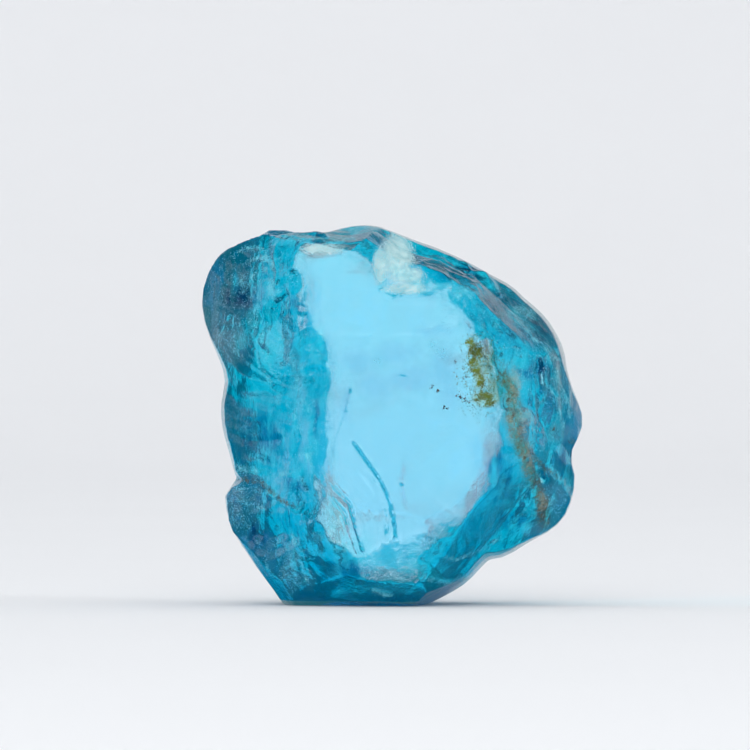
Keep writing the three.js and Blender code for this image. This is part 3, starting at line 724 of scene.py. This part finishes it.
def add_ripples(rings, seen, outside):
    """Adds the rings of the breaks: a slow rise and a steep fall. Only the fan is on the glassy face."""
    beside = ramp(-0.1, 0.4, outside)
    for name, (origin, (least, most), middle, patch, ring, height) in RIPPLES.items():
        away = np.linalg.norm(seen - origin, axis=1)
        off = np.linalg.norm(seen - middle, axis=1)
        shown = 1 - ramp(0.6 * patch, 1.15 * patch, off)
        shown *= ramp(least, least + ring, away) * (1 - ramp(most - ring, most, away))
        turn = away / ring + 0.35 * np.sin(3.1 * seen[:, 0] + 2.3 * seen[:, 1])
        saw = turn % 1
        wave = np.where(saw < 0.75, saw / 0.75, (1 - saw) / 0.25) - 0.5
        rings += height * wave * shown * (1 if name == "fan" else beside)


def add_glassy_marks(rings, seen):
    """Cuts the steps and the pits of the glassy face."""
    for width, depth, line in GROOVES.values():
        away, side = from_line(seen, line)
        rings -= depth * np.exp(-((away / (0.5 * width)) ** 2))
        rings += 0.6 * depth * np.exp(-away / (4 * width)) * (side < 0)
    for x, z, half_width, half_height, depth in PITS:
        away = (seen - (x, z)) / (half_width, half_height)
        rings -= depth * np.exp(-np.sum(away**2, axis=1))


def surface_tone(seen, outside, front, wander):
    """The crystal's tone at each place, as four numbers: its stains, with painted light and shade laid over
    the front.
    """
    tone = np.tile(np.array(BACK_TONE), (len(seen), 1))
    # Painted light and shade: the glassy face paler, the flanks darker.
    plain = (1 - ramp(-0.25, 0.15, outside))[:, None]
    at_front = np.array(GLASSY_TONE) * plain + np.array(FLANK_TONE) * (1 - plain)
    # The painted light and shade patches and the stains, laid in order.
    for colour, strength, patches in TONES.values():
        share = strength * patch_mask(seen + TONE_BEND * wander, patches)[:, None]
        at_front += share * (np.array(colour) - at_front)
    away = from_line(seen + STREAK_BEND * wander, VEINS["right vein"][1])[0]
    share = 0.8 * (1 - ramp(0.03, 0.24, away))[:, None]
    at_front += share * (np.array(BROWN_TONE) - at_front)
    tone += front[:, None] * (at_front - tone)
    return np.hstack([tone, np.ones((len(tone), 1))])


def mark_surface(mesh):
    """Stores at each place what the relief, the grains and the material follow."""
    at, normal = positions(mesh), vertex_normals(mesh)
    seen, outside = at[:, [0, 2]], glassy_outside(at, normal, 0.06)
    front = ramp(*FACING, -normal[:, 1])
    wander, grit = two_waves(at, WANDER), two_waves(at, GRIT)

    crumble = line_mask(seen, CRUMBLED_EDGES, 0.45, 1.25)
    rings, powder_and_glints = np.zeros(len(at)), np.zeros(len(at))
    # Pale grains: crushed crystal along the broken edges, and painted highlights and glints in the patches
    # and along the streaks.
    for *patch, share in POWDER_AND_GLINT_PATCHES:
        powder_and_glints = np.maximum(powder_and_glints, share * patch_mask(seen, [patch]))
    add_streaks(rings, powder_and_glints, seen + STREAK_BEND * wander, wander[:, 1])
    add_ripples(rings, seen, outside)
    add_glassy_marks(rings, seen)
    powder_and_glints = np.maximum(0.06 * crumble, powder_and_glints)
    stained = patch_mask(seen, [STAINED_PATCH])
    rings += STAINED_RELIEF * grit[:, 0] * stained
    film = np.maximum(patch_mask(seen + FILM_FRAY * grit, FILM_PATCHES), SCATTERED_FILM * stained)
    specks = patch_mask(seen, [(x, z, SPECK_SPREAD, SPECK_SPREAD) for x, z in SPECK_PLACES])
    frost = patch_mask(seen, FROST_PATCHES) * front

    # The facets lie along the broken edges and the upper left border, and thin out in the frost.
    crumble *= 1 - 0.8 * frost
    border = (1 - ramp(0.0, 0.5, np.abs(outside))) * ramp(2.0, 3.5, seen[:, 1] - seen[:, 0])
    crumble = np.maximum(0.6 * crumble, 0.35 * border) * ramp(-0.5, 0.6, unevenness(at + 4.0, 0.7))
    crumble *= front * ramp(-0.12, 0.35, outside + 0.1 * wander[:, 1])
    scaly = np.maximum(0.2, patch_mask(seen, SCALY_PATCHES)) * front * ramp(0.0, 0.4, outside)
    back = ramp(*FACING, normal[:, 1]) * ramp(0.1, 0.8, outside_of(seen, GLASSY_FACE))

    # Nothing moves at the foot and at the sides of the crystal's box.
    room = np.minimum(at - LOW / MM, HIGH / MM - at)
    keep = ramp(0.02, 0.3, at[:, 2]) * ramp(0.0, 0.25, room[:, 0])
    keep *= ramp(0.0, 0.2, room[:, 2])
    low, high = HAZY_BELT
    belt = ramp(low - 0.5, low + 0.3, at[:, 2]) * (1 - ramp(high - 0.2, high, at[:, 2]))
    masks = {
        "film": film * front, "specks": specks * front, "veins": line_mask(seen, VEINS, 0.3, 1.4) * front,
        "powder_and_glints": powder_and_glints * front, "frost": frost, "haze": patch_mask(seen, HAZE_PATCHES) * front,
        "crumble": crumble, "rings": rings * front, "keep": keep,
        "glassy": 1 - ramp(-0.4, 0.12, outside + BORDER_BEND * wander[:, 0]),
        "open": np.maximum(scaly, 0.25 * back),
        "belt": belt * (1 - ramp(-0.02, 0.06, outside)),
    }
    for name, values in masks.items():
        mesh.attributes.new(name, "FLOAT", "POINT").data.foreach_set("value", values.astype(np.float32))
    tone = surface_tone(seen, outside, front, wander).astype(np.float32)
    mesh.attributes.new("tone", "FLOAT_COLOR", "POINT").data.foreach_set("color", tone.ravel())


def build_crystal(settings):
    piece = add_piece("crystal_body", crystal_copy())
    even_out(piece, settings.step)
    level_glassy_face(piece.data)
    even_out(piece, settings.step)
    mark_surface(piece.data)
    values = {
        "Facet size": settings.facet_size,
        "Facet height": settings.facet_height,
        "Unevenness": settings.grain_height,
        "Material": apatite_material(settings),
    }
    add_nodes_modifier(piece, relief_tree(), values)
    applied(piece)
    piece.data.copy().name = FINE_SURFACE
    faces = sum(len(p.vertices) - 2 for p in piece.data.polygons)
    if faces > settings.most_faces:
        thin = piece.modifiers.new("thin where smooth", "DECIMATE")
        thin.ratio = settings.most_faces / faces
        applied(piece)
    mesh = piece.data
    mesh.transform(Matrix.Scale(MM, 4))
    at = np.clip(positions(mesh), LOW, HIGH)
    mesh.vertices.foreach_set("co", at.ravel())
    mesh.polygons.foreach_set("use_smooth", np.ones(len(mesh.polygons), dtype=bool))
    mesh.set_sharp_from_angle(angle=settings.crisp_angle)
    mesh.update()
    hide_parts(NODE)
    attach(piece, "root")


def apatite_material(settings):
    """Clear blue glass, whose roughness and bumps follow what the surface stores, and whose colour carries
    the stored tone with its painted light and shade, and pale streaks of painted haze.
    """
    material, nodes = new_material("clear blue apatite")
    place = nodes.scaled(nodes.add("ShaderNodeTexCoord").outputs["Object"], 1 / MM)
    masks = {}
    for name in ("crumble", "glassy", "belt", "frost"):
        masks[name] = nodes.add("ShaderNodeAttribute", attribute_name=name).outputs["Fac"]

    patchy = nodes.spread(nodes.noise(place, 1.7, 6.0, 0.65), 0.3, 0.75)
    dull = nodes.math("MULTIPLY_ADD", patchy, DULL, CLEAR)
    dull = nodes.math("MULTIPLY_ADD", masks["frost"], FROST, dull)
    clear = nodes.math("MULTIPLY_ADD", nodes.times(masks["belt"], patchy), BELT, CLEAR)

    chips = nodes.add("ShaderNodeTexVoronoi", {"Vector": place, "Scale": 7.0}).outputs["Distance"]
    chips = nodes.times(chips, masks["crumble"])
    height = nodes.plus(chips, nodes.noise(place, 9.0, 4.0, 0.6))
    combed = nodes.noise(nodes.vector("MULTIPLY", place, (1.0, 1.0, 0.22)), 11.0, 4.0, 0.6)
    height = nodes.math("MULTIPLY_ADD", combed, COMBED_BUMP, height)
    height = nodes.times(height, nodes.math("MULTIPLY_ADD", masks["glassy"], -0.93, 1.0))
    bumps = {"Height": height, "Strength": BUMP_STRENGTH, "Distance": BUMP_HEIGHT}

    # Pale streaks: painted haze that lightens the flanks in place of their hazy reflection.
    streaks = nodes.noise(nodes.vector("MULTIPLY", place, (1.0, 1.0, 0.35)), 4.0, 5.0, 0.65)
    share = nodes.math("MULTIPLY_ADD", masks["glassy"], GLASSY_PAINTED_HAZE - FLANK_PAINTED_HAZE, FLANK_PAINTED_HAZE)
    share = nodes.times(nodes.spread(streaks, 0.45, 0.66), share)
    # The stored tone: the crystal's stains, with painted light and shade over the front.
    tone = nodes.add("ShaderNodeAttribute", attribute_name="tone").outputs["Color"]
    glass = nodes.add(
        "ShaderNodeBsdfPrincipled",
        {
            "Base Color": nodes.mix("RGBA", share, tone, PAINTED_HAZE_TONE),
            "Roughness": nodes.mix("FLOAT", masks["glassy"], dull, clear),
            "IOR": settings.ior,
            "Transmission Weight": settings.clearness,
            "Normal": nodes.add("ShaderNodeBump", bumps).outputs[0],
        },
    )
    inside = nodes.add(
        "ShaderNodeVolumeAbsorption", {"Color": (*settings.body_color, 1.0), "Density": settings.density}
    )
    nodes.add("ShaderNodeOutputMaterial", {"Surface": glass.outputs[0], "Volume": inside.outputs[0]})
    return material


# Stains, crushed grains and painted glints


def grain_tree():
    """Strews grains over a surface where a mask says, sunk a little way into it."""
    inputs = {
        "Geometry": ["Geometry"],
        "String": ["Mask"],
        "Int": ["Seed"],
        "Float": ["Density", "Clumping", "Least size", "Most size", "Depth"],
        "Vector": ["Shape"],
        "Material": ["Material"],
    }
    nodes, given = new_group("strewn grains", "GeometryNodeTree", inputs, "Geometry")
    place = nodes.add("GeometryNodeInputPosition").outputs[0]
    clump = nodes.spread(nodes.noise(place, 10.0, 5.0), 0.36, 0.6)
    bare = nodes.times(nodes.minus(1.0, clump), given["Clumping"])
    share = nodes.times(nodes.mask(given["Mask"]), nodes.minus(1.0, bare))
    density = nodes.times(share, given["Density"])
    points = nodes.add(
        "GeometryNodeDistributePointsOnFaces",
        {"Mesh": given["Geometry"], "Density": density, "Seed": given["Seed"]},
        distribute_method="RANDOM",
    ).outputs

    ball = {"Radius": 0.5, "Segments": 4, "Rings": 2}
    grain = nodes.add("GeometryNodeMeshUVSphere", ball).outputs["Mesh"]
    sizes = {"Min": given["Least size"], "Max": given["Most size"], "Seed": given["Seed"]}
    size = nodes.add("FunctionNodeRandomValue", sizes, data_type="FLOAT").outputs[1]
    turns = {"Max": (0.6, 0.6, 6.3), "Seed": given["Seed"]}
    turn = nodes.add("FunctionNodeRandomValue", turns, data_type="FLOAT_VECTOR").outputs[0]
    turn = nodes.add("FunctionNodeEulerToRotation", {0: turn}).outputs[0]
    turns = {0: points["Rotation"], 1: turn}
    turned = nodes.add("FunctionNodeRotateRotation", turns, rotation_space="LOCAL").outputs[0]
    scale = nodes.scaled(given["Shape"], size)
    strewn = nodes.add(
        "GeometryNodeInstanceOnPoints",
        {"Points": points["Points"], "Instance": grain, "Rotation": turned, "Scale": scale},
    ).outputs[0]
    down = nodes.add("ShaderNodeCombineXYZ", {"Z": nodes.times(given["Depth"], -1.0)}).outputs[0]
    sunk = nodes.add("GeometryNodeTranslateInstances", {"Instances": strewn, "Translation": down})
    nodes.finish(sunk.outputs[0], given["Material"])
    return nodes.tree


def strew(name, surface, material, grains, seed):
    """Grains over the crystal's surface where their mask says."""
    piece = add_piece(name, surface.copy())
    tree = bpy.data.node_groups.get("strewn grains") or grain_tree()
    add_nodes_modifier(piece, tree, {**grains, "Seed": seed, "Material": material})
    applied(piece)
    piece.data.transform(Matrix.Scale(MM, 4))
    if not piece.data.polygons:
        raise RuntimeError(f"{name} has no grains")
    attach(piece, "root")


def mottle_group():
    """A shader group whose colour wanders from a dark to a light tone, for grains, films and paper."""
    inputs = {"Color": ["Dark", "Light"], "Float": ["Scale", "Contrast"]}
    nodes, given = new_group("mottled tone", "ShaderNodeTree", inputs, "Color")
    place = nodes.add("ShaderNodeTexCoord").outputs["Object"]
    wander = nodes.minus(nodes.noise(place, given["Scale"], 3.0), 0.5)
    share = nodes.spread(nodes.times(wander, given["Contrast"]), -0.5, 0.5)
    nodes.add("NodeGroupOutput", {"Color": nodes.mix("RGBA", share, given["Dark"], given["Light"])})
    return nodes.tree


def mottled_material(name, light, dark, roughness, scale=5000.0, contrast=3.3, specular=0.5):
    """A dull material, mottled from one tone to another. The usual scale is that of the grains."""
    material, nodes = new_material(name)
    tree = bpy.data.node_groups.get("mottled tone") or mottle_group()
    values = {"Dark": (*dark, 1.0), "Light": (*light, 1.0), "Scale": scale, "Contrast": contrast}
    tone = nodes.add("ShaderNodeGroup", node_tree=tree, values=values).outputs["Color"]
    values = {"Base Color": tone, "Roughness": roughness, "Specular IOR Level": specular}
    dull = nodes.add("ShaderNodeBsdfPrincipled", values)
    nodes.add("ShaderNodeOutputMaterial", {"Surface": dull.outputs[0]})
    return material


def build_stain(settings):
    surface = bpy.data.meshes.get(FINE_SURFACE)
    if surface is None:
        raise RuntimeError("build the crystal first: the grains are strewn over its surface")
    tones = {
        "iron_film": (settings.ochre, [FILM_SHADE * n for n in settings.ochre]),
        "iron_veins": (settings.brown, [VEIN_SHADE * n for n in settings.brown]),
        **GRAIN_TONES,
    }
    for seed, (name, (slot, label, roughness, values)) in enumerate(GRAINS.items(), SEED):
        material = mottled_material(label, *tones[name], roughness)
        strew(name, surface, material, dict(zip(GRAIN_INPUTS, values)), seed)
    bpy.data.meshes.remove(surface)


# The studio


def build_cove(radius):
    """A round floor that turns up into a wall all round, open above."""
    bend, wall, sides, arc = 0.5 * radius, 0.9 * radius, 96, 16
    profile = [(0.0, 0.0), (0.1 * radius, 0.0), (radius - bend, 0.0)]
    for i in range(1, arc + 1):
        turn = 0.5 * math.pi * i / arc
        profile.append((radius - bend + bend * math.sin(turn), bend - bend * math.cos(turn)))
    profile.append((radius, wall))
    work = bmesh.new()
    rows = []
    for r, z in profile:
        if r == 0:
            rows.append([work.verts.new((0, 0, z))])
            continue
        turns = (2 * math.pi * i / sides for i in range(sides))
        rows.append([work.verts.new((r * math.cos(t), r * math.sin(t), z)) for t in turns])
    for inner, outer in zip(rows[:-1], rows[1:]):
        for i in range(sides):
            j = (i + 1) % sides
            if len(inner) == 1:
                work.faces.new((inner[0], outer[i], outer[j]))
            else:
                work.faces.new((inner[i], outer[i], outer[j], inner[j]))
    mesh = bpy.data.meshes.new("cove")
    work.to_mesh(mesh)
    work.free()
    mesh.polygons.foreach_set("use_smooth", np.ones(len(mesh.polygons), dtype=bool))
    paper = mottled_material(
        "pale paper", (0.875, 0.88, 0.89), (0.86, 0.865, 0.875), 0.8, scale=60.0, contrast=1.0, specular=0.2
    )
    cove = add_piece("pale_cove", mesh, paper)


def aim(thing, target):
    thing.rotation_euler = (Vector(target) - thing.location).to_track_quat("-Z", "Y").to_euler()


def direction(azimuth, elevation):
    """Away from the crystal: azimuth 0 is the viewer's side, and it grows to the viewer's right."""
    turn, rise = math.radians(azimuth), math.radians(elevation)
    return Vector((math.sin(turn) * math.cos(rise), -math.cos(turn) * math.cos(rise), math.sin(rise)))


def soft_light(name, azimuth, elevation, distance, size, radiance):
    """A rectangular soft light whose face has the given radiance."""
    data = bpy.data.lights.new(name, "AREA")
    data.shape = "RECTANGLE"
    data.size, data.size_y = size
    data.energy = math.pi * radiance * size[0] * size[1]
    light = add_piece(name, data)
    light.location = LIT_POINT + distance * direction(azimuth, elevation)
    aim(light, LIT_POINT)
    light.visible_camera = False


def unseen_card(name, rows, shade):
    """A dark card through rows of points, only in what the crystal mirrors and bends."""
    work = bmesh.new()
    grid = [[work.verts.new(point) for point in row] for row in rows]
    for left, right in zip(grid[:-1], grid[1:]):
        for j in range(len(left) - 1):
            work.faces.new((left[j], left[j + 1], right[j + 1], right[j]))
    mesh = bpy.data.meshes.new(name)
    work.to_mesh(mesh)
    work.free()
    material, nodes = new_material(name)
    dark = nodes.add("ShaderNodeEmission", {"Color": (*shade, 1.0), "Strength": 1.0})
    nodes.add("ShaderNodeOutputMaterial", {"Surface": dark.outputs[0]})
    card = add_piece(name, mesh, material)
    card.visible_camera = False
    card.visible_diffuse = False
    card.visible_shadow = False


def dark_card(name, azimuths, shade):
    """A card from near the crystal's foot out along the floor, and up."""
    across, up = 24, 12
    profile = [(CARD_NEAR, CARD_LIFT), (CARD_FAR, CARD_LIFT)]
    for j in range(1, up + 1):
        rise = math.radians(CARD_TOP) * j / up
        profile.append((CARD_FAR * math.cos(rise), CARD_LIFT + CARD_FAR * math.sin(rise)))
    rows = []
    for i in range(across + 1):
        out = direction(azimuths[0] + (azimuths[1] - azimuths[0]) * i / across, 0)
        rows.append([r * out + Vector((0, 0, z)) for r, z in profile])
    unseen_card(name, rows, shade)


def dark_ceiling(name, lowest, shade):
    """A round cap over the crystal and the cards, down to the elevation lowest all round."""
    around, up = 48, 8
    rows = []
    for i in range(around + 1):
        rises = [lowest + (89 - lowest) * j / up for j in range(up + 1)]
        rows.append([(CARD_FAR + 0.01) * direction(360 * i / around, rise) for rise in rises])
    unseen_card(name, rows, shade)


def build_studio(settings):
    build_cove(settings.cove_radius)
    for name, (azimuths, shade) in CARDS.items():
        dark_card(name, azimuths, shade)
    dark_ceiling("card_over", CEILING_EDGE, CEILING_SHADE)
    world = bpy.data.worlds.new("studio air")
    world.use_nodes = True
    background = world.node_tree.nodes["Background"]
    background.inputs["Color"].default_value = (0.97, 0.98, 1.0, 1.0)
    background.inputs["Strength"].default_value = settings.sky
    bpy.context.scene.world = world
    soft_light("key softbox", -4.6, 15, distance=0.34, size=(0.2, 0.24), radiance=settings.key_radiance)
    soft_light("right strip", 55, 30, distance=0.34, size=(0.035, 0.2), radiance=1.2)

    data = bpy.data.cameras.new("camera")
    data.lens = data.sensor_width * settings.camera_distance / settings.view_width
    data.clip_start, data.clip_end = 0.01, 5
    camera = add_piece("camera", data)
    camera.location = SEEN_POINT + Vector((0, -settings.camera_distance, 0))
    aim(camera, SEEN_POINT)
    bpy.context.scene.camera = camera
    bpy.context.scene.view_settings.view_transform = "Standard"


# Operators and panel


class MINERAL_OT_crystal(bpy.types.Operator):
    """Build the crystal's glassy, broken surface over its solid"""

    bl_idname = "mineral.crystal"
    bl_label = "Crystal"

    def execute(self, context):
        build_crystal(group_settings()[0])
        return {"FINISHED"}


class MINERAL_OT_stain(bpy.types.Operator):
    """Strew the iron film, veins and specks, and the crushed pale grains that also stand as painted glints,
    over the crystal
    """

    bl_idname = "mineral.stain"
    bl_label = "Stains and powder"

    def execute(self, context):
        build_stain(group_settings()[1])
        return {"FINISHED"}


class MINERAL_OT_studio(bpy.types.Operator):
    """Build the pale floor, the lights and the camera"""

    bl_idname = "mineral.studio"
    bl_label = "Studio"

    def execute(self, context):
        build_studio(group_settings()[2])
        return {"FINISHED"}


class MINERAL_PT_panel(bpy.types.Panel):
    """Lists what can be built"""

    bl_idname = "MINERAL_PT_panel"
    bl_label = "Apatite crystal"
    bl_space_type = "VIEW_3D"
    bl_region_type = "UI"
    bl_category = "Crystal"

    def draw(self, context):
        for operator in OPERATORS:
            self.layout.operator(operator.bl_idname)
        for settings in group_settings():
            box = self.layout.box()
            for name in settings.__annotations__:
                box.prop(settings, name)


OPERATORS = (MINERAL_OT_crystal, MINERAL_OT_stain, MINERAL_OT_studio)
SETTINGS = {
    "crystal_settings": CrystalSettings,
    "stain_settings": StainSettings,
    "studio_settings": StudioSettings,
}


def register():
    for kind in (*SETTINGS.values(), *OPERATORS, MINERAL_PT_panel):
        bpy.utils.register_class(kind)
    for name, kind in SETTINGS.items():
        setattr(bpy.types.Scene, name, bpy.props.PointerProperty(type=kind))


def unregister():
    for name in SETTINGS:
        delattr(bpy.types.Scene, name)
    for kind in (MINERAL_PT_panel, *reversed(OPERATORS), *reversed(SETTINGS.values())):
        bpy.utils.unregister_class(kind)


def main():
    register()
    bpy.ops.mineral.studio()
    bpy.ops.mineral.crystal()
    bpy.ops.mineral.stain()


if __name__ == "__main__":
    main()
